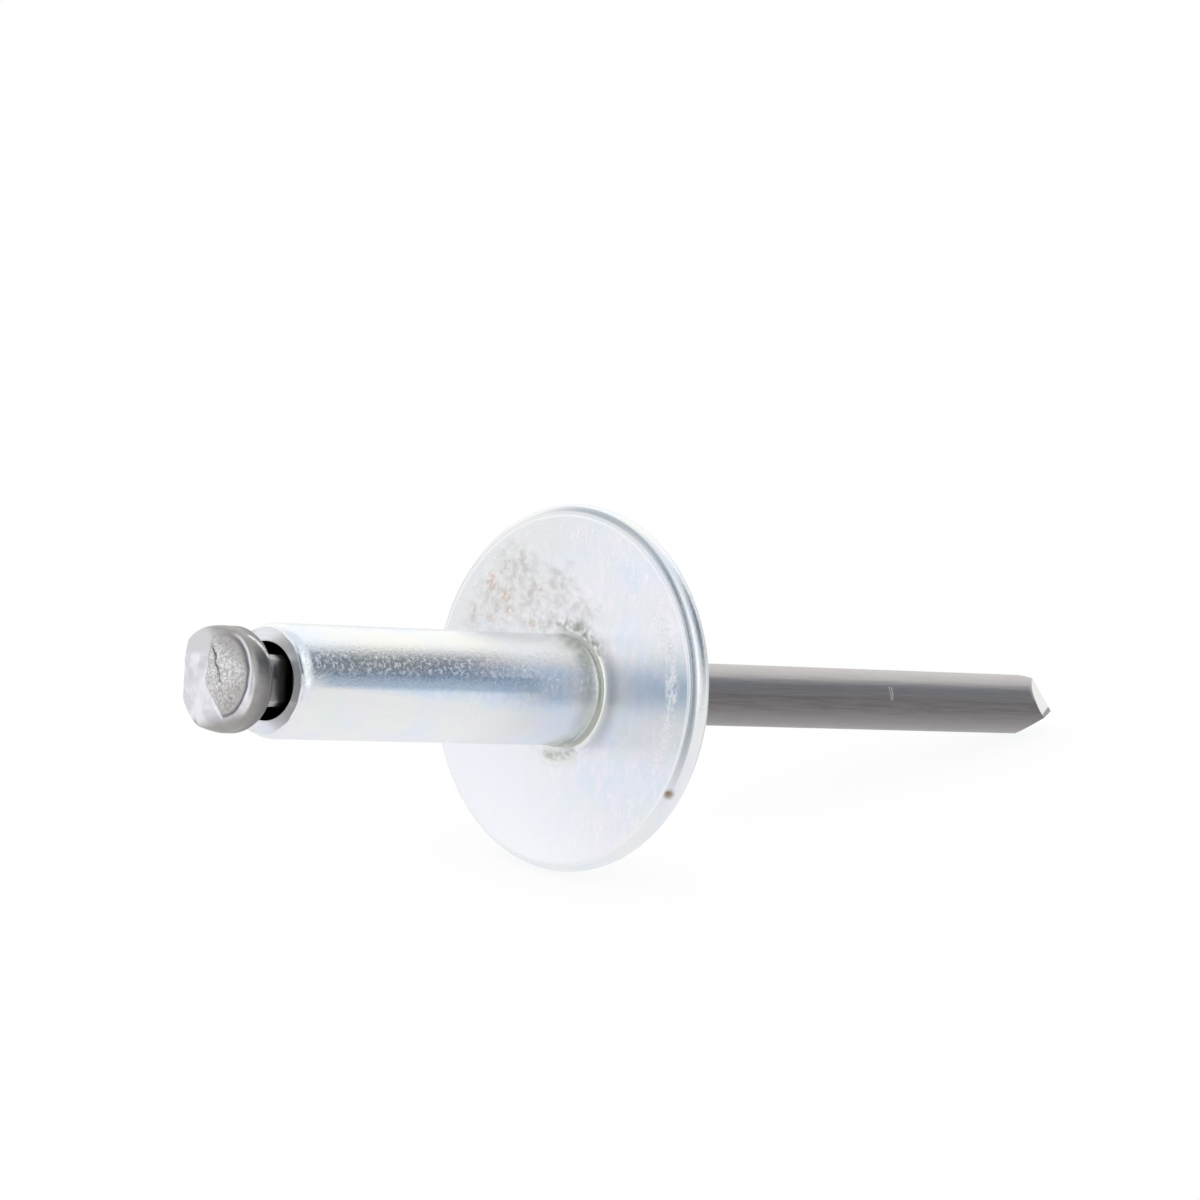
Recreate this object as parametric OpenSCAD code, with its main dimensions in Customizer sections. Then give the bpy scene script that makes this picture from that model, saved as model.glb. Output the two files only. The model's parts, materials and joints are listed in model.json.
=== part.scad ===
// Large-flange blind rivet, as supplied and not yet set: a one-piece hollow body with its
// flange, and the headed mandrel that runs through it. It lies on the rim of its flange and
// on the point of its stem. Along the rivet's own axis, zero is the seating face of the
// flange, minus is towards the mandrel's head and plus is towards its point.

/* [Shank] */
// Outside diameter of the hollow shank
shank_d = 4.8; // [4.4:0.1:6.4]
// Length of the shank from its open end to the seating face
shank_len = 17.4; // [8:0.1:30]
// Break on the inner edge of the open end
mouth_break = 0.12; // [0.02:0.02:0.2]
// Length of the rounded lead-in on the outer edge of the open end
lead_len = 0.5; // [0.3:0.05:1]
// Depth of the lead-in, on the radius
lead_depth = 0.17; // [0.05:0.01:0.2]

/* [Flange] */
// Diameter over the crest of the crowned rim
flange_d = 15.9; // [11:0.1:19]
// Thickness of the rim
rim_t = 1.2; // [0.9:0.05:1.8]
// How far the crest of the rim stands out past its two corners
rim_crown = 0.25; // [0.08:0.01:0.4]
// Rise of the domed back above the rim
dome_rise = 0.85; // [0.3:0.05:1.5]
// Radius of the fillet where the shank meets the seating face
seat_fillet = 0.3; // [0.1:0.05:0.6]
// How far the flange's centre stands off the shank's axis, upwards as it lies
flange_offset = 0.1; // [0:0.05:0.4]
// Length of the land at the back of the flange that grips the stem
grip_len = 1.2; // [0.6:0.1:2]
// How deep that land is pressed into the stem
grip_bite = 0.03; // [0.01:0.01:0.06]

/* [Mandrel] */
// Diameter of the stem
stem_d = 2.75; // [2.6:0.05:2.9]
// Length of the stem from the seating face to its point
stem_reach = 33.05; // [28:0.05:50]
// Diameter of the upset head
head_d = 4.4; // [4:0.05:4.8]
// Length of the head, without its crown
head_len = 1.4; // [1.2:0.05:2.4]
// Rounding of the head's outer end
head_nose_r = 0.5; // [0.3:0.05:0.6]
// Rounding under the head
head_heel_r = 0.45; // [0.2:0.05:0.5]
// Rise of the rough crown on the head's end
head_crown = 0.12; // [0.05:0.01:0.25]
// Gap between the underside of the head and the open end of the shank
head_gap = 1.35; // [0.6:0.05:3]

/* [Break neck] */
// Distance across the four pinched flats of the neck
neck_across = 2.15; // [1.8:0.05:2.3]
// Length of the flats, from the underside of the head
neck_len = 1.9; // [0.6:0.1:2.4]
// Turn of the mandrel, and with it of the flats, in the shank
mandrel_turn = -10; // [-45:1:45]

/* [Cut point] */
// Length of the four-sided cut point
point_len = 2.75; // [1.5:0.05:3.5]
// Turn of the point's sides from the flats of the neck
point_turn = -21; // [-30:1:30]
// How far the point lies off the stem's axis
point_offset = 0.3; // [0:0.05:0.5]

/* [Fit] */
// Clearance on the radius between the stem and the bore along the shank
bore_clearance = 0.225; // [0.1:0.005:0.4]
// Clearance on the radius between the stem and the land that grips it
grip_clearance = 0.01; // [0.005:0.005:0.03]

/* [Hidden] */

roundness = 96;
slack = 1;

shank_r = shank_d / 2;
flange_r = flange_d / 2;
stem_r = stem_d / 2;
bore_r = stem_r + bore_clearance;
head_r = head_d / 2;

open_end = -shank_len;
back = rim_t + dome_rise;
hole_r = stem_r + grip_clearance;
heel = open_end - head_gap;
nose = heel - head_len;
point_start = stem_reach - point_len;

// Radius of an arc from its chord's half length and its rise
function arc_r(half_chord, rise) = (half_chord * half_chord + rise * rise) / (2 * rise);

lead_r = arc_r(lead_len, lead_depth);
rim_r = arc_r(rim_t / 2, rim_crown);
rim_corner_r = flange_r - rim_crown;
dome_r = arc_r(rim_corner_r, dome_rise);
grip_r = arc_r(grip_len / 2, grip_bite);
crown_edge_r = head_r - head_nose_r;
crown_r = arc_r(crown_edge_r, head_crown);

// The point has four sides. Zero is straight down, and the first is the one that the tip
// lies towards. The stem's wall ends where the nearest of the four cuts through it.
sides = [0:90:270];
point_lie = mandrel_turn + point_turn;
function tip_offset(side) = point_offset * cos(side);
function wall_end(around) = min([
    for (side = sides)
        stem_reach - point_len * (stem_r * cos(around - point_lie - side) - tip_offset(side))
            / (stem_r - tip_offset(side))
]);

// The rivet leans down towards its point until rim and point touch the same plane. Each
// reach is how far that part extends from the axis origin, straight down, at a given lean.
search_step = 0.25;
function rim_reach(lean) =
    rim_t / 2 * sin(lean) + (flange_r - rim_r - flange_offset) * cos(lean) + rim_r;
function point_reach(lean) = max([
    for (around = [-90:search_step:90])
        wall_end(around) * sin(lean) + stem_r * cos(around) * cos(lean)
]);
function settle(lean, rounds) = rounds == 0
    ? lean
    : settle(lean + asin((rim_reach(lean) - point_reach(lean)) / stem_reach), rounds - 1);
lean = settle(asin((flange_r - stem_r) / point_start), 8);

tip_x = stem_reach * cos(lean) - point_offset * cos(point_lie) * sin(lean);
nose_x = (nose + head_nose_r) * cos(lean) - crown_edge_r * sin(lean) - head_nose_r;

// Lays the rivet's own axis along +X, leaning on rim and point, centred over the origin
module lay() {
    translate([-(tip_x + nose_x) / 2, 0, rim_reach(lean)])
        rotate([0, 90 + lean, 0])
            children();
}

// Sets the flange off the shank's axis, with the seam of its round faces turned to the top,
// away from where it rests
module flange_placed() {
    translate([-flange_offset, 0, 0])
        rotate([0, 0, 180])
            children();
}

// Half sections: x is the radius and y the place along the axis

module shank_section() {
    translate([0, open_end + lead_len])
        square([shank_r, shank_len - lead_len + rim_t]);
    intersection() {
        translate([shank_r - lead_r, open_end + lead_len])
            circle(r = lead_r, $fn = roundness);
        translate([0, open_end])
            square([shank_r, lead_len + slack]);
    }
}

module rim_section() {
    square([flange_r - rim_r, rim_t]);
    intersection() {
        translate([flange_r - rim_r, rim_t / 2])
            circle(r = rim_r, $fn = roundness);
        square([flange_r, rim_t]);
    }
}

module dome_section() {
    intersection() {
        translate([0, back - dome_r])
            circle(r = dome_r, $fn = roundness);
        translate([0, rim_t / 2])
            square([rim_corner_r, back]);
    }
}

module seat_fillet_section() {
    difference() {
        translate([shank_r - seat_fillet, -seat_fillet])
            square(2 * seat_fillet);
        translate([shank_r + seat_fillet, -seat_fillet])
            circle(r = seat_fillet, $fn = roundness);
    }
}

// Where the bulging land of the bore presses the stem in, grown by what it clears the stem by
module grip_section(clearance = 0) {
    intersection() {
        translate([hole_r - grip_bite + grip_r, back - grip_len / 2])
            circle(r = grip_r + clearance, $fn = roundness);
        translate([0, back - grip_len - slack])
            square([hole_r, grip_len + 2 * slack]);
    }
}

module bore_section() {
    difference() {
        polygon([
            [0, open_end - slack],
            [bore_r + mouth_break, open_end - slack],
            [bore_r + mouth_break, open_end],
            [bore_r, open_end + mouth_break],
            [bore_r, back - grip_len - (bore_r - hole_r)],
            [hole_r, back - grip_len],
            [hole_r, back + slack],
            [0, back + slack]
        ]);
        grip_section();
    }
}

module head_section() {
    translate([0, nose])
        square([crown_edge_r, head_len]);
    translate([0, nose + head_nose_r])
        square([head_r, head_len - head_nose_r - head_heel_r]);
    translate([0, heel - head_heel_r])
        square([head_r - head_heel_r, head_heel_r]);
    intersection() {
        union() {
            translate([crown_edge_r, nose + head_nose_r])
                circle(r = head_nose_r, $fn = roundness);
            translate([head_r - head_heel_r, heel - head_heel_r])
                circle(r = head_heel_r, $fn = roundness);
        }
        translate([0, nose])
            square([head_r, head_len]);
    }
    intersection() {
        translate([0, nose - head_crown + crown_r])
            circle(r = crown_r, $fn = roundness);
        translate([0, nose - head_crown])
            square([crown_edge_r, 2 * head_crown]);
    }
}

// What one of the dies that pinch the neck takes off the stem
module neck_flat() {
    flat = neck_across / 2;
    rotate([90, 0, 0])
        linear_extrude(stem_d, center = true)
            polygon([
                [flat, heel],
                [stem_r + slack, heel],
                [stem_r + slack, heel + neck_len + stem_r + slack - flat],
                [flat, heel + neck_len]
            ]);
}

// What one side of the cutter takes off the end of the stem
module point_cut(side) {
    rotate([90, 0, 0])
        linear_extrude(2 * stem_d, center = true)
            polygon([
                [tip_offset(side), stem_reach],
                [tip_offset(side), stem_reach + slack],
                [stem_r + slack, stem_reach + slack],
                [stem_r + slack, point_start],
                [stem_r, point_start]
            ]);
}

module rivet_body() {
    color([0.80, 0.83, 0.86])
        lay()
            difference() {
                union() {
                    rotate_extrude($fn = roundness) {
                        shank_section();
                        seat_fillet_section();
                    }
                    flange_placed()
                        rotate_extrude($fn = roundness) {
                            rim_section();
                            dome_section();
                        }
                }
                rotate_extrude($fn = roundness)
                    bore_section();
            }
}

module mandrel() {
    color([0.40, 0.39, 0.39])
        lay()
            difference() {
                union() {
                    rotate_extrude($fn = roundness)
                        head_section();
                    translate([0, 0, heel - head_heel_r])
                        cylinder(r = stem_r, h = stem_reach - heel + head_heel_r, $fn = roundness);
                }
                rotate_extrude($fn = roundness)
                    grip_section(grip_clearance);
                for (side = sides) {
                    rotate([0, 0, mandrel_turn + side])
                        neck_flat();
                    rotate([0, 0, point_lie + side])
                        point_cut(side);
                }
            }
}

rivet_body();
mandrel();
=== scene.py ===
import json
import math

import bpy
from mathutils import Matrix, Vector, noise


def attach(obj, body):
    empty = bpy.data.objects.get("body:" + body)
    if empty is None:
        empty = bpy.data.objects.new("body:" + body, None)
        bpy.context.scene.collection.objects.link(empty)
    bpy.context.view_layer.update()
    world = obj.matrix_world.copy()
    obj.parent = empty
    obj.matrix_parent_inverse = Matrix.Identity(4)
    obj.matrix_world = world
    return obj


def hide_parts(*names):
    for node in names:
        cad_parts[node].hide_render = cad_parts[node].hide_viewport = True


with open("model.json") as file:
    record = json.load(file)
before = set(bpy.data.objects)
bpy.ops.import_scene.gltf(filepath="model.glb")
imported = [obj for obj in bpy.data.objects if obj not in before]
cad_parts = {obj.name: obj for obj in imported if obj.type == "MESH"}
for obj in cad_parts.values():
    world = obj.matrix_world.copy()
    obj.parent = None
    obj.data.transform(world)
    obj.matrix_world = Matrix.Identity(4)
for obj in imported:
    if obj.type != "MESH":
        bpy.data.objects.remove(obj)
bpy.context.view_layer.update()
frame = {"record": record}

# The rivet's own frame, in millimetres: x upwards, y to the near side, z along the axis towards
# the point, with zero in the middle of the flange's seating face. Angles go round the axis, in
# degrees, from upwards (0) through the near side (90).
mounts = {mount["name"]: mount for mount in frame["record"]["mounts"]}
rivetAxis = Vector(mounts["mandrel_stem"]["axis"]).normalized()
shankMiddle = Vector(mounts["shank"]["pos_m"])
seatPoint = Vector(mounts["flange_seat"]["pos_m"])
seatCentre = shankMiddle + rivetAxis * (seatPoint - shankMiddle).dot(rivetAxis)
upward = (Vector((0, 0, 1)) - rivetAxis * rivetAxis.z).normalized()
rivetTurn = Matrix((upward, rivetAxis.cross(upward), rivetAxis)).transposed()
millimetre = 0.001
rivetPlace = Matrix.Translation(seatCentre) @ rivetTurn.to_4x4() @ Matrix.Scale(millimetre, 4)
print("placed the rivet's frame, seat centre", [round(v, 5) for v in seatCentre])

weldGap = 0.0005        # points nearer than this are merged, in millimetres
bumpDepth = 0.00003     # height of the finest relief, in metres
fourSides = (0, 90, 180, 270)


def onlySelect(piece):
    bpy.ops.object.select_all(action="DESELECT")
    piece.select_set(True)
    bpy.context.view_layer.objects.active = piece


# A profile is a half section, a list of radius and place along the axis. Each run ends with
# the spacing of its rings, and an arc's angles are in degrees from outwards.
def lineTo(profile, radius, along, spacing):
    lastRadius, lastAlong = profile[-1]
    length = math.hypot(radius - lastRadius, along - lastAlong)
    count = max(1, round(length / spacing))
    for step in range(1, count + 1):
        share = step / count
        profile.append((lastRadius + (radius - lastRadius) * share,
                        lastAlong + (along - lastAlong) * share))


def arcTo(profile, centreRadius, centreAlong, radius, start, end, spacing):
    count = max(2, round(math.radians(abs(end - start)) * radius / spacing))
    for step in range(1, count + 1):
        turn = math.radians(start + (end - start) * step / count)
        profile.append((centreRadius + radius * math.cos(turn),
                        centreAlong + radius * math.sin(turn)))


def arcRadius(halfChord, rise):
    return (halfChord ** 2 + rise ** 2) / (2 * rise)


def closeUp():      # merges what coincides and turns the faces outwards, in edit mode
    bpy.ops.mesh.select_all(action="SELECT")
    bpy.ops.mesh.remove_doubles(threshold=weldGap)
    bpy.ops.mesh.normals_make_consistent(inside=False)
    bpy.ops.object.mode_set(mode="OBJECT")


def lathe(name, profile, steps):        # extrudes the profile point by point and spins it
    bpy.ops.object.select_all(action="DESELECT")
    bpy.ops.mesh.primitive_circle_add(vertices=3, radius=0.01)
    piece = bpy.context.object
    piece.name = piece.data.name = name
    bpy.ops.object.mode_set(mode="EDIT")
    bpy.ops.mesh.merge(type="CENTER")
    bpy.ops.transform.translate(value=(profile[0][0], 0, profile[0][1]))
    for (r0, s0), (r1, s1) in zip(profile, profile[1:]):
        bpy.ops.mesh.extrude_region_move(TRANSFORM_OT_translate={"value": (r1 - r0, 0, s1 - s0)})
    bpy.ops.mesh.select_all(action="SELECT")
    bpy.ops.mesh.spin(steps=steps, angle=2 * math.pi, center=(0, 0, 0), axis=(0, 0, 1))
    closeUp()
    return piece


def sculpt(piece, rule):        # moves every vertex to where the rule says
    for vertex in piece.data.vertices:
        vertex.co = rule(vertex.co)


def mark(piece, name, rule):        # paints a mask that the finish reads
    layer = piece.data.attributes.new(name, "FLOAT", "POINT")
    layer.data.foreach_set("value", [rule(vertex.co) for vertex in piece.data.vertices])


def polar(place):
    return math.hypot(place.x, place.y), math.degrees(math.atan2(place.y, place.x))


def outwards(angle):
    turn = math.radians(angle)
    return Vector((math.cos(turn), math.sin(turn), 0))


def ease(value, low, high):         # 0 at low and 1 at high, smooth between
    share = min(max((value - low) / (high - low), 0), 1)
    return share * share * (3 - 2 * share)


def ridge(value, middle, width):        # 1 at the middle, falling away on both sides
    return math.exp(-((value - middle) / width) ** 2)


def grain(place, size, seed=0):     # smooth noise from -1 to 1 with lumps of that size
    return noise.noise(place / size + Vector((seed * 17.3, seed * 5.1, seed * 9.7)))


def cutBack(place, normal, limit):      # brings a place past a flat back on to it
    over = place.dot(normal) - limit
    return place - normal * over if over > 0 else place


def finishPiece(piece, node, material, smoothAngle=40):
    piece.data.transform(rivetPlace)
    piece.data.update()
    onlySelect(piece)
    bpy.ops.object.shade_smooth_by_angle(angle=math.radians(smoothAngle))
    piece.data.materials.clear()
    piece.data.materials.append(material)
    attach(piece, "root")
    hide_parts(node)
    print("made", piece.name, len(piece.data.polygons), "faces")


class Wire:         # a socket that can stand in an expression
    def __init__(self, tree, socket=None):
        self.tree = tree
        self.socket = socket

    def node(self, kind, settings=None, inputs=None, output=0):
        made = self.tree.nodes.new(kind)
        for name, value in (settings or {}).items():
            setattr(made, name, value)
        for name, value in (inputs or {}).items():
            entry = made.inputs[name]
            if isinstance(value, Wire):
                self.tree.links.new(value.socket, entry)
            elif entry.type == "RGBA":
                entry.default_value = (*value, 1)
            else:
                entry.default_value = value
        return Wire(self.tree, made.outputs[output] if len(made.outputs) else None)

    def beside(self, output):       # another output of the same node
        return Wire(self.tree, self.socket.node.outputs[output])

    def maths(self, operation, first, second=0.0):
        return self.node("ShaderNodeMath", {"operation": operation}, {0: first, 1: second})

    def __add__(self, other):
        return self.maths("ADD", self, other)

    def __radd__(self, other):
        return self.maths("ADD", other, self)

    def __sub__(self, other):
        return self.maths("SUBTRACT", self, other)

    def __rsub__(self, other):
        return self.maths("SUBTRACT", other, self)

    def __mul__(self, other):
        return self.maths("MULTIPLY", self, other)

    def __rmul__(self, other):
        return self.maths("MULTIPLY", other, self)

    def __truediv__(self, other):
        return self.maths("DIVIDE", self, other)

    def __abs__(self):
        return self.maths("ABSOLUTE", self)

    def between(self, low, high):       # 0 at low and 1 at high, smooth between
        return self.node("ShaderNodeMapRange", {"interpolation_type": "SMOOTHSTEP"},
                         {"Value": self, "From Min": low, "From Max": high})

    def near(self, middle, inner, outer):       # 1 near the middle and 0 past the outer distance
        return 1 - abs(self - middle).between(inner, outer)

    def span(self, rise, fall):         # up to 1 over the rise and back to 0 over the fall
        return self.between(*rise) * (1 - self.between(*fall))

    def blend(self, under, over):       # from one colour to the other as this goes from 0 to 1
        return self.node("ShaderNodeMix", {"data_type": "RGBA"}, {0: self, 6: under, 7: over}, 2)

    def lumps(self, size, detail=2.0, rough=0.5, shift=0.0, stretch=(1, 1, 1)):     # noise
        moved = self.node("ShaderNodeMapping", {},
                          {"Vector": self, "Location": (shift, shift * 0.7, shift * 1.3),
                           "Scale": stretch})
        return self.node("ShaderNodeTexNoise", {},
                         {"Vector": moved, "Scale": 1 / size, "Detail": detail,
                          "Roughness": rough})


def newMaterial(name):
    material = bpy.data.materials.new(name)
    material.use_nodes = True
    material.node_tree.nodes.clear()
    wire = Wire(material.node_tree)
    coords = wire.node("ShaderNodeTexCoord", {}, {}, "Object")
    return material, wire, coords


def rivetCoords(wire, coords):      # place, above and nearer the axis, radius, angle and along
    place = wire.node("ShaderNodeMapping", {"vector_type": "TEXTURE"},
                      {"Vector": coords, "Location": seatCentre,
                       "Rotation": rivetTurn.to_euler(), "Scale": (millimetre,) * 3})
    above = wire.node("ShaderNodeSeparateXYZ", {}, {"Vector": place}, "X")
    nearer, along = above.beside("Y"), above.beside("Z")
    radius = wire.maths("SQRT", above * above + nearer * nearer)
    angle = wire.maths("ARCTAN2", nearer, above) * (180 / math.pi)
    return place, above, nearer, radius, angle, along


def painted(wire, *names):      # the masks of those names
    return [wire.node("ShaderNodeAttribute", {"attribute_name": name}, {}, "Fac")
            for name in names]


def useShader(wire, strength, height, settings):
    settings["Normal"] = wire.node("ShaderNodeBump", {}, {"Strength": strength,
                                                          "Distance": bumpDepth,
                                                          "Height": height})
    shader = wire.node("ShaderNodeBsdfPrincipled", {}, settings)
    wire.node("ShaderNodeOutputMaterial", {}, {"Surface": shader})


body = {
    "shankRadius": 2.4, "shankLength": 17.4, "boreRadius": 1.6, "mouthRadius": 1.73,
    "flare": 1.2, "burrRadius": 2.21, "burrRise": 0.04,
    "leadStart": 0.1, "leadLength": 0.5, "leadDepth": 0.18,
    "flangeRadius": 7.95, "rimThickness": 1.2, "rimCrown": 0.33, "cornerRound": 0.1,
    "domeRise": 0.85, "seatFillet": 0.3, "flangeOffset": 0.1,
    "gripLength": 1.2, "gripBite": 0.03, "holeRadius": 1.385,
    "steps": 320,
    # marks round the root of the shank and on the rim
    "ringRadius": 2.67, "rootRadius": 2.85, "beadAngle": 170,
    "rimPit": {"angle": 115, "radius": 7.76, "along": 0.24, "size": 0.26},
    # round spots on the seating face: x, y and radius
    "patch": [(3.2, -4.4, 2.0), (3.6, -2.8, 2.1), (4.5, -3.7, 1.8), (2.3, -5.6, 1.2),
              (4.2, -1.0, 1.6), (3.2, 0.6, 1.4), (2.9, -1.4, 1.9)],
    "specks": [(3.81, -5.05, 0.52), (3.37, -4.01, 0.50), (2.74, -3.72, 0.34),
               (2.24, -4.85, 0.28), (2.4, -2.25, 0.34), (3.84, -2.11, 0.24)],
    # how far the marks stand out or go in, in millimetres
    "relief": {"ring": 0.03, "groove": 0.01, "patch": 0.02, "crystals": 0.05, "dirt": 0.05,
               "bead": 0.10, "lumps": 0.06, "pit": 0.09, "nick": 0.035, "torn": 0.05,
               "burr": 0.02},
    "mouthSquash": 0.06,
    "bump": 0.55,
    "colours": {
        "plate": (0.86, 0.87, 0.875), "blue": (0.80, 0.85, 0.93), "lilac": (0.87, 0.84, 0.92),
        "green": (0.82, 0.87, 0.83), "fleck": (0.72, 0.76, 0.84), "film": (0.50, 0.70, 0.94),
        "deep": (0.33, 0.44, 0.59), "cream": (0.88, 0.865, 0.80), "tealReflection": (0.66, 0.82, 0.80),
        "weave": (0.76, 0.79, 0.84), "rosy": (0.96, 0.88, 0.95), "paleSide": (0.93, 0.94, 0.97),
        "greySide": (0.82, 0.82, 0.79), "root": (0.56, 0.61, 0.58), "hollow": (0.36, 0.37, 0.32),
        "ring": (0.92, 0.92, 0.82), "shade": (0.58, 0.57, 0.66), "highlightStreak": (1.0, 0.98, 0.98),
        "column": (0.98, 0.93, 0.93), "corner": (1.0, 1.0, 1.0), "rimDarkReflection": (0.36, 0.40, 0.44),
        "crust": (0.50, 0.465, 0.42), "crystal": (0.88, 0.87, 0.835), "rust": (0.64, 0.48, 0.38),
        "paleRust": (1.0, 0.90, 0.86), "dirt": (0.34, 0.34, 0.30), "bead": (0.54, 0.55, 0.50),
        "paleBead": (0.88, 0.88, 0.81), "pit": (0.34, 0.22, 0.11), "bore": (0.16, 0.15, 0.15),
    },
}
openEnd = -body["shankLength"]
leadEnd = openEnd + body["leadStart"] + body["leadLength"]
faceDepth = 0.35        # the marks on the seating face reach this far along the axis
beadDepth = 0.45


def bodyProfile():
    shank, fillet, thick = body["shankRadius"], body["seatFillet"], body["rimThickness"]
    hole, bore, mouth = body["holeRadius"], body["boreRadius"], body["mouthRadius"]
    burr, rise = body["burrRadius"], body["burrRise"]
    # the flared mouth, the burred end and the rounded lead-in
    profile = [(bore, openEnd + body["flare"])]
    lineTo(profile, mouth, openEnd + 0.03, 0.12)
    lineTo(profile, mouth + 0.02, openEnd, 0.03)
    lineTo(profile, burr - rise, openEnd, 0.045)
    lineTo(profile, burr, openEnd - rise, 0.03)
    lineTo(profile, burr + rise / 2, openEnd - rise / 2, 0.03)
    lineTo(profile, shank - body["leadDepth"], openEnd + body["leadStart"], 0.04)
    leadRadius = arcRadius(body["leadLength"], body["leadDepth"])
    reach = math.degrees(math.asin(body["leadLength"] / leadRadius))
    arcTo(profile, shank - leadRadius, leadEnd, leadRadius, -reach, 0, 0.035)
    # the shank and the seating face
    lineTo(profile, shank, openEnd + 2.5, 0.12)
    lineTo(profile, shank, -2.0, 0.4)
    lineTo(profile, shank, -fillet, 0.15)
    arcTo(profile, shank + fillet, -fillet, fillet, 180, 90, 0.04)
    lineTo(profile, 3.2, 0, 0.045)
    # the crowned rim, with a small arc that touches the face and the crown
    rimRadius = arcRadius(thick / 2, body["rimCrown"])
    rimCentre = body["flangeRadius"] - rimRadius
    rimAngle = math.degrees(math.asin(thick / 2 / rimRadius))
    small = body["cornerRound"]
    meet = math.degrees(math.asin((thick / 2 - small) / (rimRadius - small)))
    smallCentre = rimCentre + (rimRadius - small) * math.cos(math.radians(meet))
    lineTo(profile, smallCentre, 0, 0.062)
    arcTo(profile, smallCentre, small, small, -90, -meet, 0.025)
    arcTo(profile, rimCentre, thick / 2, rimRadius, -meet, rimAngle, 0.05)
    # the domed back
    corner = body["flangeRadius"] - body["rimCrown"]
    back = thick + body["domeRise"]
    domeRadius = arcRadius(corner, body["domeRise"])
    domeStart = math.degrees(math.acos(corner / domeRadius))
    domeEnd = math.degrees(math.acos(hole / domeRadius))
    arcTo(profile, 0, back - domeRadius, domeRadius, domeStart, domeEnd, 0.18)
    # the land that grips the stem, and the bore
    half = body["gripLength"] / 2
    gripRadius = arcRadius(half, body["gripBite"])
    gripAngle = math.degrees(math.asin(half / gripRadius))
    landEnd = back - body["gripLength"]
    arcTo(profile, hole - body["gripBite"] + gripRadius, landEnd + half, gripRadius,
          180 - gripAngle, 180 + gripAngle, 0.15)
    lineTo(profile, bore, landEnd - (bore - hole), 0.1)
    lineTo(profile, bore, openEnd + 2, 1.5)
    lineTo(profile, bore, openEnd + body["flare"], 0.2)
    return profile


def discs(place, spots, soft):      # 1 inside any of the spots, with a soft edge
    return max(1 - ease(math.hypot(place.x - x, place.y - y), r * (1 - soft), r)
               for x, y, r in spots)


def shaken(place, size, seed, reach):       # moves a place about on the seating face
    return place + Vector((grain(place, size, seed), grain(place, size, seed + 1), 0)) * reach


def patchMask(place):       # dull, coarse crystals
    if abs(place.z) > faceDepth or place.x < 0 or place.length < 2.45:
        return 0.0
    inside = discs(shaken(place, 0.6, 3, 0.4), body["patch"], 0.9)
    return inside * (0.75 + 0.5 * grain(place, 0.7, 10))


def speckMask(place):       # rusty specks
    if abs(place.z) > faceDepth:
        return 0.0
    inside = discs(shaken(place, 0.18, 7, 0.12), body["specks"], 0.8)
    return inside * (0.7 + 0.6 * grain(place, 0.2, 16))


def dirtMask(place):        # dirt in the corner round the shank
    if abs(place.z) > faceDepth:
        return 0.0
    radius, angle = polar(place)
    ring = ridge(radius - 0.12 * grain(place, 0.35, 5), body["rootRadius"], 0.27)
    upper = ease(angle, -30, -5) * (1 - ease(angle, 35, 60))
    return ring * upper * ease(grain(place, 0.2, 6), -0.5, 0.6)


def beadMask(place):        # a lumpy bead of plating under the shank
    if abs(place.z) > beadDepth:
        return 0.0
    radius, angle = polar(place)
    turn = abs((angle - body["beadAngle"] + 180) % 360 - 180)
    return ridge(radius, body["rootRadius"], 0.26) * (1 - ease(turn, 14, 24))


def pitMask(place):
    pit = body["rimPit"]
    middle = outwards(pit["angle"]) * pit["radius"] + Vector((0, 0, pit["along"]))
    return 1 - ease((place - middle).length, 0.3 * pit["size"], 1.15 * pit["size"])


def bodyShape(place):
    relief = body["relief"]
    radius, angle = polar(place)
    out = Vector((place.x, place.y, 0)) / max(radius, 0.001)
    moved = place.copy()
    if radius > 2.7 and place.z > -0.05:        # the flange stands a little off the shank
        moved.x += body["flangeOffset"] * ease(radius, 2.75, 3.6)
    if abs(place.z) < faceDepth and 2.42 < radius < 7.4 and place.z < 0.3:
        ring = relief["ring"] * ridge(radius, body["ringRadius"], 0.035)
        ring *= ease(angle, 20, 50) * (1 - ease(angle, 140, 155))
        groove = relief["groove"] * ridge(radius, body["rootRadius"], 0.1) * ease(angle, 20, 50)
        crystals = grain(place, 0.3, 1) * 0.6 + grain(place, 0.14, 2) * 0.4
        patch = patchMask(place) * (relief["patch"] + relief["crystals"] * crystals)
        bead = beadMask(place) * (relief["bead"] + relief["lumps"] * grain(place, 0.14, 9))
        dirt = relief["dirt"] * dirtMask(place)
        moved.z -= ring - groove + patch + bead + dirt
        moved += out * (bead * 0.5)
    fromLead = leadEnd - place.z
    if fromLead > 0 and radius > 2.15:          # torn and burred round the open end
        nick = relief["nick"] * grain(Vector((angle * 0.09, place.z * 1.5, 4)), 1)
        torn = relief["torn"] * abs(grain(Vector((angle * 0.25, place.z * 2, 1)), 1))
        torn *= ease(angle, 95, 130) * (1 - ease(angle, 165, 180))
        moved += out * ease(fromLead, 0, 0.35) * (nick - torn)
    if fromLead > 0 and radius < 1.9:           # the mouth is wider than it is high
        moved.x *= 1 - body["mouthSquash"] * ease(fromLead, 0, 0.5)
    if place.z < openEnd - 0.01:        # the fine burr on the edge of the mouth is uneven
        moved.z -= relief["burr"] * grain(Vector((angle * 0.12, 0, 2)), 1)
    return moved - out * relief["pit"] * pitMask(place)


print("modelling the rivet body")
rivetBody = lathe("rivetBody", bodyProfile(), body["steps"])
mark(rivetBody, "patch", patchMask)
mark(rivetBody, "specks", speckMask)
mark(rivetBody, "dirt", dirtMask)
mark(rivetBody, "bead", beadMask)
mark(rivetBody, "pit", pitMask)
sculpt(rivetBody, bodyShape)


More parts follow.
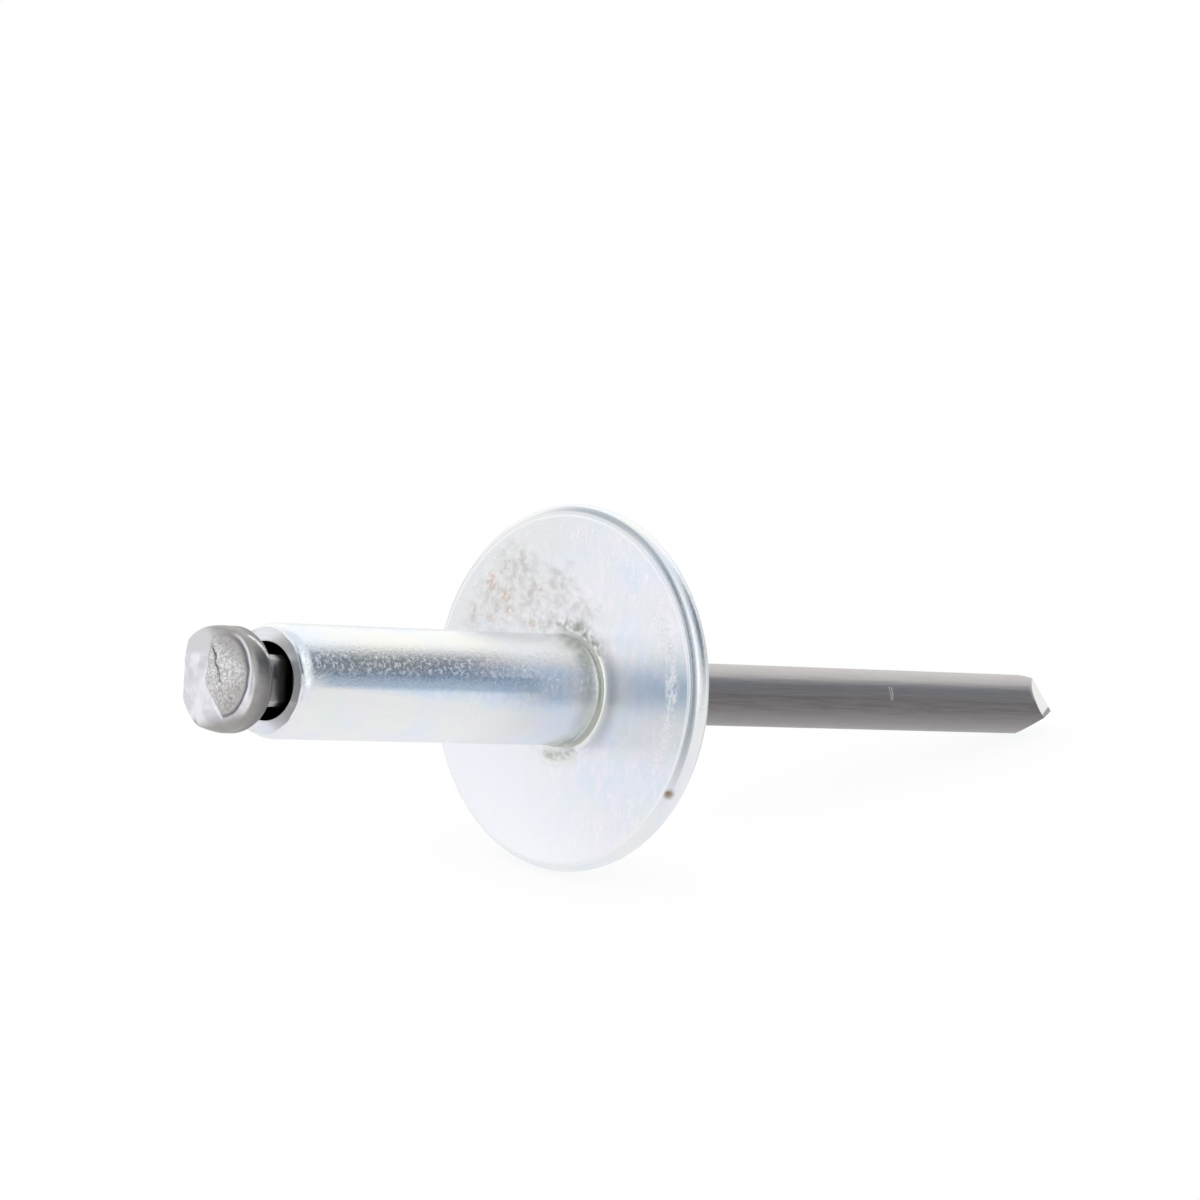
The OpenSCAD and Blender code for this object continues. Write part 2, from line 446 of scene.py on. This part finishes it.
def zincFinish():
    paint = body["colours"]
    material, wire, coords = newMaterial("zincPlate")
    place, above, nearer, radius, angle, along = rivetCoords(wire, coords)
    patch, specks, dirt, bead, pit = painted(wire, "patch", "specks", "dirt", "bead", "pit")
    shank = 1 - radius.between(2.55, 2.8)
    front = 1 - along.between(0.2, 0.4)         # keeps a mark off the back of the flange
    face = radius.between(2.8, 3.1) * (1 - along.between(0.05, 0.1))
    # faint colours in the plating
    blue = place.lumps(2.6, 1, 0.5, 3).between(0.42, 0.66)
    lilac = place.lumps(1.9, 1, 0.5, 11).between(0.5, 0.68)
    green = place.lumps(1.5, 1, 0.5, 23).between(0.52, 0.7)
    fine = place.lumps(0.12, 2, 0.6, 5)
    colour = blue.blend(paint["plate"], paint["blue"])
    colour = (lilac * 0.5).blend(colour, paint["lilac"])
    colour = (green * 0.5).blend(colour, paint["green"])
    colour = (fine.between(0.56, 0.72) * 0.25).blend(colour, paint["fleck"])
    # a blue film on the near side of the shank, wider towards the flange
    width = (along + 17) * 1.8 + 6
    film = 1 - (abs(angle - 78) / width).between(0.35, 1.15)
    film = film * shank * along.span((-17.2, -13), (-2.6, -1.0))
    film = film * (place.lumps(0.4, 4, 0.7, 51).between(0.38, 0.6) * 0.6 + 0.4)
    colour = (film * 0.5).blend(colour, paint["film"])
    deep = angle.near(77, 5, 11) * along.near(-10.0, 5.5, 7.3) * shank
    colour = (deep * 0.6).blend(colour, paint["deep"])
    # a warm strip above it
    cream = angle.near(38, 10, 28) * shank * along.between(-17.0, -14.0)
    colour = (cream * 0.5).blend(colour, paint["cream"])
    # a painted teal reflection of the shank lies on the near side of the face, which is lightly
    # brushed
    tealReflection = angle.near(76, 8, 13) * radius.between(4.5, 6.5) * 0.25 + angle.near(84, 10, 35) * 0.12
    colour = (tealReflection * face).blend(colour, paint["tealReflection"])
    weave = place.lumps(0.22, 3, 0.7, 97, (0.45, 1, 1)).between(0.35, 0.65) * face
    colour = (weave * 0.2).blend(colour, paint["weave"])
    rosy = place.lumps(0.4, 3, 0.7, 101, (0.5, 1, 1)).between(0.45, 0.65) * face
    colour = (rosy * 0.5).blend(colour, paint["rosy"])
    # its far lower half is paler, its far upper half greyer
    paleSide = (above * -0.6 - nearer * 0.5).between(0.0, 5.0) * face
    colour = paleSide.blend(colour, paint["paleSide"])
    greySide = (above * 0.7 - nearer * 0.7).between(2.0, 6.5) * face
    colour = (greySide * 0.7).blend(colour, paint["greySide"])
    # painted shade: the root of the shank is painted darker, with painted shade in the fillet, a
    # pale ring and a painted soft shade outside it
    root = along.between(-1.5, -0.5) * shank * angle.near(80, 65, 100) * front
    colour = (root * 0.55).blend(colour, paint["root"])
    hollow = radius.span((2.41, 2.45), (2.57, 2.62)) * angle.near(80, 60, 100) * front
    colour = (hollow * along.between(-0.4, -0.3) * 0.8).blend(colour, paint["hollow"])
    ring = radius.near(2.68, 0.03, 0.08) * angle.near(88, 50, 68)
    ring = ring * along.between(-0.2, -0.1) * front
    colour = (ring * 0.7).blend(colour, paint["ring"])
    shade = radius.near(2.95, 0.12, 0.8) * angle.near(88, 30, 62) * face
    colour = (shade * 0.6).blend(colour, paint["shade"])
    # short upright scratches painted white as glints, and a speckled column near the rim
    scratchGlints = place.lumps(0.14, 2, 0.6, 61, (0.3, 1, 1)).between(0.56, 0.70) * face * 0.7
    scratchGlints = scratchGlints * place.lumps(1.3, 2, 0.6, 67).between(0.36, 0.56)
    scratchGlints = scratchGlints * radius.near(6.85, 0.25, 0.75)
    colour = (scratchGlints * 0.8).blend(colour, paint["highlightStreak"])
    column = place.lumps(0.2, 4, 0.7, 83, (0.6, 1, 1)).between(0.44, 0.66) * face
    column = column * radius.near(6.6, 0.1, 0.55) * angle.near(80, 26, 36)
    colour = (column * 0.8).blend(colour, paint["column"])
    # painted highlight and reflections: the rim's corner is painted white as a highlight, and two
    # darker lines on the rim are painted dark reflections
    corner = radius.span((7.46, 7.52), (7.58, 7.62)) * (1 - along.between(0.04, 0.09))
    colour = (corner * 0.8).blend(colour, paint["corner"])
    frontReflection = along.near(0.13, 0.06, 0.16) * angle.near(48, 45, 75)
    backReflection = along.near(0.9, 0.03, 0.12) * angle.near(48, 45, 70) * 0.6
    rimReflections = (frontReflection + backReflection) * radius.between(7.58, 7.63)
    colour = (rimReflections * 0.75).blend(colour, paint["rimDarkReflection"])
    # the patch, the specks, the dirt, the bead and the pit, and painted shade inside the bore
    crystals = place.lumps(0.42, 3, 0.6, 31)
    crust = crystals.between(0.35, 0.6).blend(paint["crust"], paint["crystal"])
    colour = (patch * 0.6).blend(colour, crust)
    rust = place.lumps(0.2, 2, 0.6, 37).between(0.4, 0.58).blend(paint["rust"], paint["paleRust"])
    colour = (specks * 0.9).blend(colour, rust)
    colour = (dirt * 0.8).blend(colour, paint["dirt"])
    lumpy = place.lumps(0.22, 2, 0.6, 43).between(0.38, 0.6).blend(paint["bead"], paint["paleBead"])
    colour = (bead * 0.8).blend(colour, lumpy)
    colour = pit.blend(colour, paint["pit"])
    # painted shade: the inside of the bore is painted nearly black
    inside = (1 - radius.between(1.72, 1.74)) * along.between(openEnd - 0.01, openEnd + 0.04)
    colour = inside.blend(colour, paint["bore"])
    # fine bright grains sit in the plating of the shank
    grains = place.lumps(0.17, 4, 0.75, 71).between(0.50, 0.72) * 0.4
    grains = grains * shank * angle.near(62, 14, 32) * along.between(-17.3, -17.1) * front
    # the grains, the column and the painted corner highlight are made less metallic
    white = grains + column * 0.6 + corner * 0.45
    rough = 0.15 + fine * 0.12 + patch * 0.25 + dirt * 0.3 + bead * 0.2 + pit * 0.5
    metal = 1 - patch * 0.2 - dirt * 0.6 - bead * 0.4 - white - pit * 0.9 - specks * 0.3
    # the face and the open end are smoother than the rest
    smooth = wire.maths("MAXIMUM", face, 1 - along.between(openEnd - 0.02, openEnd + 0.1))
    height = place.lumps(0.10, 3, 0.7, 41) * (0.8 - smooth * 0.55)
    height = height + place.lumps(0.3, 2, 0.5, 47) * (0.5 - smooth * 0.45)
    height = height + crystals * patch * 2.2 + grains + column * 0.5 + scratchGlints * 0.2
    useShader(wire, body["bump"], height,
              {"Base Color": colour, "Metallic": metal, "Roughness": rough})
    return material


finishPiece(rivetBody, "rivet_body", zincFinish())


pin = {
    "stemRadius": 1.375, "reach": 33.05,
    "pointLength": 2.75, "pointOffset": 0.3, "pointLie": 149,
    "heel": -18.75, "headRadius": 2.2, "headLength": 1.4,
    "noseRound": 0.5, "heelRound": 0.45, "crown": 0.12,
    "flat": 1.075, "neckLength": 1.9, "flatsTurn": 170,
    "gripLength": 1.2, "gripMiddle": 1.45, "gripBite": 0.03, "gripGap": 0.01,
    "steps": 256,
    # flats on the head: which way each faces, and a place that it passes through
    "facets": [((0.24, -0.05, -0.97), (1.0, -0.9, -20.36)),
               ((0.0, -0.86, -0.5), (0.1, -1.78, -20.3)),
               ((-0.2, -0.2, -0.96), (-0.9, -0.6, -20.3))],
    # the rough lens on its end: a disc cut by a side and a slant, with a crack across it
    "lensRadius": 1.6, "lensCentre": (0.2, 0.2), "lensSide": -0.46, "lensSlant": (-0.13, -0.49),
    "crack": [(1.35, -0.32), (0.92, 0.02), (0.66, 0.1), (0.44, 0.37), (0.03, 0.58)],
    # how far the marks stand out or go in, in millimetres
    "relief": {"farSide": 0.18, "farEdge": (0.16, 0.1), "lens": 0.03, "lumps": 0.06,
               "crystals": 0.035, "dome": 0.15, "groove": 0.07, "crack": 0.12,
               "wavy": 0.025, "dents": 0.05, "fineDents": 0.012},
    "bump": 0.5,
    "colours": {
        "stemLitTop": (0.49, 0.465, 0.465), "stemDarkReflection": (0.158, 0.148, 0.149),
        "stemShadedUnder": (0.28, 0.265, 0.268), "drawn": (0.335, 0.312, 0.312),
        "nick": (0.52, 0.50, 0.52), "shearedHighlight": (0.93, 0.92, 0.91), "neck": (0.60, 0.59, 0.58),
        "pinch": (0.24, 0.23, 0.24), "head": (0.35, 0.335, 0.32), "paleHead": (0.42, 0.405, 0.40),
        "heel": (0.21, 0.205, 0.205), "noseHighlight": (0.84, 0.83, 0.84), "highlightStreak": (0.86, 0.85, 0.86),
        "end": (0.76, 0.74, 0.78), "paleEnd": (0.94, 0.92, 0.95), "corner": (0.68, 0.66, 0.66),
        "lens": (0.54, 0.52, 0.50), "crystal": (0.93, 0.92, 0.91), "lensNear": (0.38, 0.36, 0.35),
        "lensTop": (0.42, 0.40, 0.39), "arc": (0.19, 0.18, 0.20), "crack": (0.16, 0.14, 0.12),
        "boreShade": (0.04, 0.04, 0.04),
    },
}
nose = pin["heel"] - pin["headLength"]
endZone = nose + 0.45       # the marks on the head's end lie before this


def pinProfile():
    heel, stem, head = pin["heel"], pin["stemRadius"], pin["headRadius"]
    edge = head - pin["noseRound"]
    # the crowned head
    crownRadius = arcRadius(edge, pin["crown"])
    reach = math.degrees(math.asin(edge / crownRadius))
    profile = [(0, nose - pin["crown"])]
    arcTo(profile, 0, nose - pin["crown"] + crownRadius, crownRadius, -90, -90 + reach, 0.05)
    arcTo(profile, edge, nose + pin["noseRound"], pin["noseRound"], -90, 0, 0.045)
    lineTo(profile, head, heel - pin["heelRound"], 0.05)
    arcTo(profile, head - pin["heelRound"], heel - pin["heelRound"], pin["heelRound"],
          0, 90, 0.05)
    # the neck, the waist where the flange grips, and the stem past its point
    lineTo(profile, stem, heel, 0.05)
    lineTo(profile, stem, heel + pin["neckLength"] + 0.5, 0.05)
    half, bite = pin["gripLength"] / 2, pin["gripBite"]
    gripRadius = arcRadius(half, bite) + pin["gripGap"]
    turn = math.degrees(math.asin(half / gripRadius))
    lineTo(profile, stem, pin["gripMiddle"] - half, 2.0)
    arcTo(profile, stem + gripRadius - bite, pin["gripMiddle"], gripRadius,
          180 + turn, 180 - turn, 0.15)
    lineTo(profile, stem, pin["reach"] + 0.2, 0.35)
    lineTo(profile, 0, pin["reach"] + 0.2, 2)
    return profile


def cutPoint(piece):        # four cuts of a shear leave the stem's point
    onlySelect(piece)
    bpy.ops.object.mode_set(mode="EDIT")
    for side in fourSides:
        out = outwards(pin["pointLie"] + side)
        off = pin["pointOffset"] * math.cos(math.radians(side))
        start = out * off + Vector((0, 0, pin["reach"]))
        normal = out * pin["pointLength"] + Vector((0, 0, pin["stemRadius"] - off))
        bpy.ops.mesh.select_all(action="SELECT")
        bpy.ops.mesh.bisect(plane_co=start, plane_no=normal.normalized(), use_fill=True,
                            clear_outer=True)
    closeUp()


def lensDepth(place):       # how far inside the rough lens on the end of the head
    ragged = 0.07 * grain(place, 0.35, 12)
    x, y = pin["lensCentre"]
    near = pin["lensRadius"] - math.hypot((place.x - x) * 0.95, place.y - y)
    side = place.y - pin["lensSide"] + 2.2 * ragged
    x, y = pin["lensSlant"]
    low = 0.7 * (place.x - x) + 0.71 * (place.y - y) + ragged + 0.12 * grain(place, 0.5, 18)
    return min(near, side, low)


def lensMask(place):
    return ease(lensDepth(place), -0.02, 0.12) if place.z < endZone else 0.0


def stepShadeMask(place):         # painted shade: the dark step along the near edge of the lens
    if place.z > endZone:
        return 0.0
    return ridge(lensDepth(place), -0.03, 0.065) * ease(place.y, 0.1, 1.0)


def crackMask(place):
    if place.z > endZone:
        return 0.0
    corners = [Vector(corner) for corner in pin["crack"]]
    gaps = []
    for start, end in zip(corners, corners[1:]):
        run = end - start
        share = min(max((place.xy - start).dot(run) / run.length_squared, 0), 1)
        gaps.append((place.xy - start - run * share).length)
    return 1 - ease(min(gaps), 0.0, 0.07)


def neckShape(moved, along):        # the pinched flats, which run out into the stem
    limit = pin["flat"] + max(0, along - pin["heel"] - pin["neckLength"])
    for side in fourSides:
        moved = cutBack(moved, outwards(pin["flatsTurn"] + side), limit)
    return moved


def headShape(moved, place):
    relief = pin["relief"]
    radius = math.hypot(place.x, place.y)
    out = Vector((place.x, place.y, 0)) / max(radius, 0.001)
    # the far side stands out, with a squarer edge, and is cut by the flats
    farSide = ease(-place.y, -0.3, 1.6)
    end = ease(-19.5 - place.z, 0, 0.5)
    moved.z -= relief["farSide"] * farSide * end
    edge = ridge(radius, 2.05, 0.28) * ridge(place.z, -19.95, 0.3)
    sideways, endways = relief["farEdge"]
    moved += (out * sideways - Vector((0, 0, endways))) * edge * farSide
    for facing, through in pin["facets"]:
        normal = Vector(facing).normalized()
        moved = cutBack(moved, normal, normal.dot(Vector(through)))
    # the lens is broken and domed, with a groove along its near edge and a crack
    depth = lensDepth(place) if place.z < endZone else -1
    lens = ease(depth, -0.02, 0.14)
    lumps = relief["lumps"] * grain(place, 0.17, 13) + relief["crystals"] * grain(place, 0.1, 14)
    moved.z -= lens * (relief["lens"] + lumps)
    moved.z -= relief["dome"] * min(max(depth, 0), 1) ** 0.9
    moved.z += relief["groove"] * ridge(depth, -0.04, 0.08) * ease(place.y, -0.2, 0.6)
    moved.z += relief["crack"] * crackMask(place)
    # the rest of the head is a little uneven
    moved += out * relief["wavy"] * grain(place, 0.9, 15) * (1 - lens)
    dents = relief["dents"] * grain(place, 0.75, 17) + relief["fineDents"] * grain(place, 0.3, 19)
    moved.z -= dents * end * (1 - lens)
    return moved


def pinShape(place):
    heel = pin["heel"]
    if heel + 0.01 < place.z < heel + pin["neckLength"] + 0.45:
        return neckShape(place.copy(), place.z)
    if place.z < heel:
        return headShape(place.copy(), place)
    return place


print("modelling the mandrel")
mandrel = lathe("headedMandrel", pinProfile(), pin["steps"])
cutPoint(mandrel)
mark(mandrel, "lens", lensMask)
mark(mandrel, "crack", crackMask)
mark(mandrel, "arc", stepShadeMask)
sculpt(mandrel, pinShape)


def mandrelFinish():
    paint = pin["colours"]
    material, wire, coords = newMaterial("mandrelSteel")
    place, above, nearer, radius, angle, along = rivetCoords(wire, coords)
    lens, crack, arc = painted(wire, "lens", "crack", "arc")
    head = 1 - along.between(-19.0, -18.9)
    mottled = place.lumps(0.8, 3, 0.6, 3)
    # painted light: the stem is painted pale on top as a highlight, darkest on its side as a dark
    # reflection and darker underneath as shade, with fine lines from drawing
    slope = above / radius
    stem = slope.between(0.52, 0.14).blend(paint["stemLitTop"], paint["stemDarkReflection"])
    stem = slope.between(0.0, -0.75).blend(stem, paint["stemShadedUnder"])
    drawn = place.lumps(0.12, 3, 0.65, 19, (1, 1, 0.05))
    stem = (drawn.between(0.35, 0.65) * 0.22).blend(stem, paint["drawn"])
    nick = (angle - along * 60 + 1144).near(0, 12, 22)
    nick = along.near(20.2, 0.04, 0.12) * nick * angle.near(69, 10, 18)
    stem = (nick * 0.6).blend(stem, paint["nick"])
    # the sheared side of the point that faces upwards is painted bright as a highlight, and the
    # neck is bright too, but for its pinch mark
    shearedHighlight = (1 - radius.between(1.345, 1.368)) * angle.near(59, 38, 46)
    stem = (shearedHighlight * along.between(29.9, 30.0)).blend(stem, paint["shearedHighlight"])
    stem = (1 - along.between(-17.4, -17.1)).blend(stem, paint["neck"])
    pinch = along.near(-17.85, 0.05, 0.2) * angle.near(62, 8, 20)
    stem = pinch.blend(stem, paint["pinch"])
    # the head is darker towards its heel, with a painted highlight along the rounding of its nose
    # and a painted highlight streak on its barrel
    headSteel = mottled.between(0.35, 0.7).blend(paint["head"], paint["paleHead"])
    headSteel = along.between(-19.9, -19.05).blend(headSteel, paint["heel"])
    noseHighlight = radius.near(2.04, 0.03, 0.09) * (1 - along.between(-19.85, -19.75))
    headSteel = (noseHighlight * angle.near(60, 32, 50) * 0.85).blend(headSteel, paint["noseHighlight"])
    highlightStreak = (along + 19.25 - (angle - 41) * 0.016).near(0, 0.05, 0.14) * angle.near(40, 13, 19)
    highlightStreak = highlightStreak * place.lumps(0.2, 3, 0.6, 91).between(0.25, 0.5) * head
    headSteel = highlightStreak.blend(headSteel, paint["highlightStreak"])
    colour = head.blend(stem, headSteel)
    # the end of the head is pale on its far side, grey above and brownish below
    reach = nearer.between(0.8, 1.7) * 0.12 + nearer.between(-0.9, -1.8) * 0.3
    end = 1 - (along - reach).between(-20.1, -19.98)
    end = end * (1 - (above * 0.8 + nearer * 0.45).between(0.95, 1.5))
    end = end * (1 - (nearer * 0.35 - above * 0.9).between(1.3, 1.9))
    pale = mottled.between(0.38, 0.62).blend(paint["end"], paint["paleEnd"])
    corner = (above - nearer * 0.15).between(0.85, 1.25) * (1 - nearer.between(-0.6, -0.2))
    colour = end.blend(colour, corner.blend(pale, paint["corner"]))
    # the lens is broken and crystalline, darker towards its near edge and its top
    crystals = place.lumps(0.11, 3, 0.7, 9)
    broken = crystals.between(0.38, 0.62).blend(paint["lens"], paint["crystal"])
    nearEdge = (nearer - above * 0.8).between(0.2, 2.3)
    broken = (nearEdge * 0.65).blend(broken, paint["lensNear"])
    top = (above + nearer * 0.4).between(1.1, 1.8)
    broken = (top * 0.75).blend(broken, paint["lensTop"])
    colour = lens.blend(colour, broken)
    # painted shade in the step along the near edge of the lens
    colour = arc.blend(colour, paint["arc"])
    colour = crack.blend(colour, paint["crack"])
    # painted shade: the stem is painted nearly black where it lies inside the bore
    boreShade = along.span((openEnd + 0.05, openEnd + 0.4), (1.9, 2.05))
    colour = boreShade.blend(colour, paint["boreShade"])
    rough = 0.30 + mottled * 0.1 + lens * 0.05
    height = drawn * 0.6 + crystals * lens * 4.0 - nick * 2.0
    height = height + place.lumps(0.35, 2, 0.5, 29) * 0.6 * head
    useShader(wire, pin["bump"], height,
              {"Base Color": colour, "Metallic": 1 - highlightStreak * 0.6, "Roughness": rough})
    return material


finishPiece(mandrel, "mandrel", mandrelFinish(), smoothAngle=30)


studio = {
    "floorSize": 4.0, "floorDrop": 0.00001, "floorColour": (0.82, 0.82, 0.82),
    "shadow": (0.92, 0.925, 0.935), "shadowReach": 0.005, "shadowSamples": 32,
    "glossNear": (0.96, 0.96, 0.96), "glossFar": (0.62, 0.64, 0.66), "glossReach": (0.05, 0.2),
    "open": (0.86, 0.88, 0.90),
    "window": (1.13, 1.13, 1.11), "windowTowards": (0.72, 0.66, 0.2),
    "windowReach": (0.45, 0.85),
    "left": (1.02, 1.03, 1.07), "leftTowards": (-0.73, 0.68, 0.0), "leftReach": (0.7, 0.95),
    "dark": (0.17, 0.20, 0.24), "darkTowards": (0.805, -0.49, 0.325),
    "darkReach": (0.845, 0.985), "darkRise": (0.0, 0.22),
    "dim": (0.42, 0.45, 0.50), "dimAzimuth": -137, "dimReach": (0.12, 0.3),
    "strip": (1.16, 1.17, 1.19), "stripAzimuth": -90, "stripReach": (0.3, 0.5),
    "front": (1.3, 1.3, 1.3), "frontAzimuth": -174, "frontReach": (0.12, 0.28),
}


# White paper: the camera sees it white, with its shadow, and in polished metal it greys with
# distance
def floorFinish():
    material, wire, coords = newMaterial("floorWhite")
    seen = wire.node("ShaderNodeLightPath", {}, {}, "Is Camera Ray")
    gloss = seen.beside("Is Glossy Ray")
    bare = wire.node("ShaderNodeAmbientOcclusion", {"samples": studio["shadowSamples"]},
                     {"Distance": studio["shadowReach"]}, "AO")
    shown = bare.blend(studio["shadow"], (1, 1, 1))
    away = wire.node("ShaderNodeVectorMath", {"operation": "LENGTH"}, {0: coords}, "Value")
    mirrored = away.between(*studio["glossReach"])
    mirrored = mirrored.blend(studio["glossNear"], studio["glossFar"])
    glow = wire.node("ShaderNodeEmission", {}, {"Color": seen.blend(mirrored, shown)})
    paper = wire.node("ShaderNodeBsdfDiffuse", {}, {"Color": studio["floorColour"]})
    mixed = wire.node("ShaderNodeMixShader", {},
                      {0: wire.maths("MAXIMUM", seen, gloss), 1: paper, 2: glow})
    wire.node("ShaderNodeOutputMaterial", {}, {"Surface": mixed})
    return material


def towards(direction, goal):       # cosine of the angle between a direction and a goal
    return direction.node("ShaderNodeVectorMath", {"operation": "DOT_PRODUCT"},
                          {0: direction, 1: Vector(goal).normalized()}, "Value")


def upright(direction, azimuth, reach):     # a tall band of the room, ahead at that azimuth
    turn = math.radians(azimuth)
    ahead = towards(direction, (math.sin(turn), math.cos(turn), 0)).between(0.0, 0.3)
    across = abs(towards(direction, (math.cos(turn), -math.sin(turn), 0)))
    return ahead * (1 - across.between(*reach))


def roomLight():
    world = bpy.data.worlds.new("softRoom")
    bpy.context.scene.world = world
    world.use_nodes = True
    world.node_tree.nodes.clear()
    wire = Wire(world.node_tree)
    direction = wire.node("ShaderNodeTexCoord", {}, {}, "Generated")
    seen = wire.node("ShaderNodeLightPath", {}, {}, "Is Camera Ray")
    window = towards(direction, studio["windowTowards"]).between(*studio["windowReach"])
    room = window.blend(studio["open"], studio["window"])
    strip = upright(direction, studio["stripAzimuth"], studio["stripReach"])
    room = strip.blend(room, studio["strip"])
    left = towards(direction, studio["leftTowards"]).between(*studio["leftReach"])
    room = left.blend(room, studio["left"])
    front = upright(direction, studio["frontAzimuth"], studio["frontReach"])
    room = front.blend(room, studio["front"])
    dark = towards(direction, studio["darkTowards"]).between(*studio["darkReach"])
    dark = dark * towards(direction, (0, 0, 1)).between(*studio["darkRise"])
    room = dark.blend(room, studio["dark"])
    dim = upright(direction, studio["dimAzimuth"], studio["dimReach"])
    room = dim.blend(room, studio["dim"])
    room = seen.blend(room, (1, 1, 1))
    light = wire.node("ShaderNodeBackground", {}, {"Color": room})
    wire.node("ShaderNodeOutputWorld", {}, {"Surface": light})


bpy.ops.object.select_all(action="DESELECT")
bpy.ops.mesh.primitive_plane_add(size=studio["floorSize"],
                                 location=(0, 0, -studio["floorDrop"]))
floor = bpy.context.object
floor.name = "floor"
floor.data.materials.append(floorFinish())
roomLight()

view = {
    "azimuth": -44.8714, "elevation": 14.2065, "lens": 180, "sensor": 36, "clip": 0.01,
    "right": 1.7215, "above": 3.8826, "back": 259.2177,       # from the seat centre
}
turned = Matrix.Rotation(math.radians(view["azimuth"]), 3, "Z") @ Matrix.Rotation(
    math.radians(90 - view["elevation"]), 3, "X")
offset = turned @ Vector((view["right"], view["above"], view["back"])) * millimetre
bpy.ops.object.camera_add(location=seatCentre + offset, rotation=turned.to_euler())
camera = bpy.context.object
camera.data.lens, camera.data.sensor_width = view["lens"], view["sensor"]
camera.data.clip_start = view["clip"]
bpy.context.scene.camera = camera
bpy.context.scene.view_settings.view_transform = "Standard"
print("set the floor, the light and the camera")
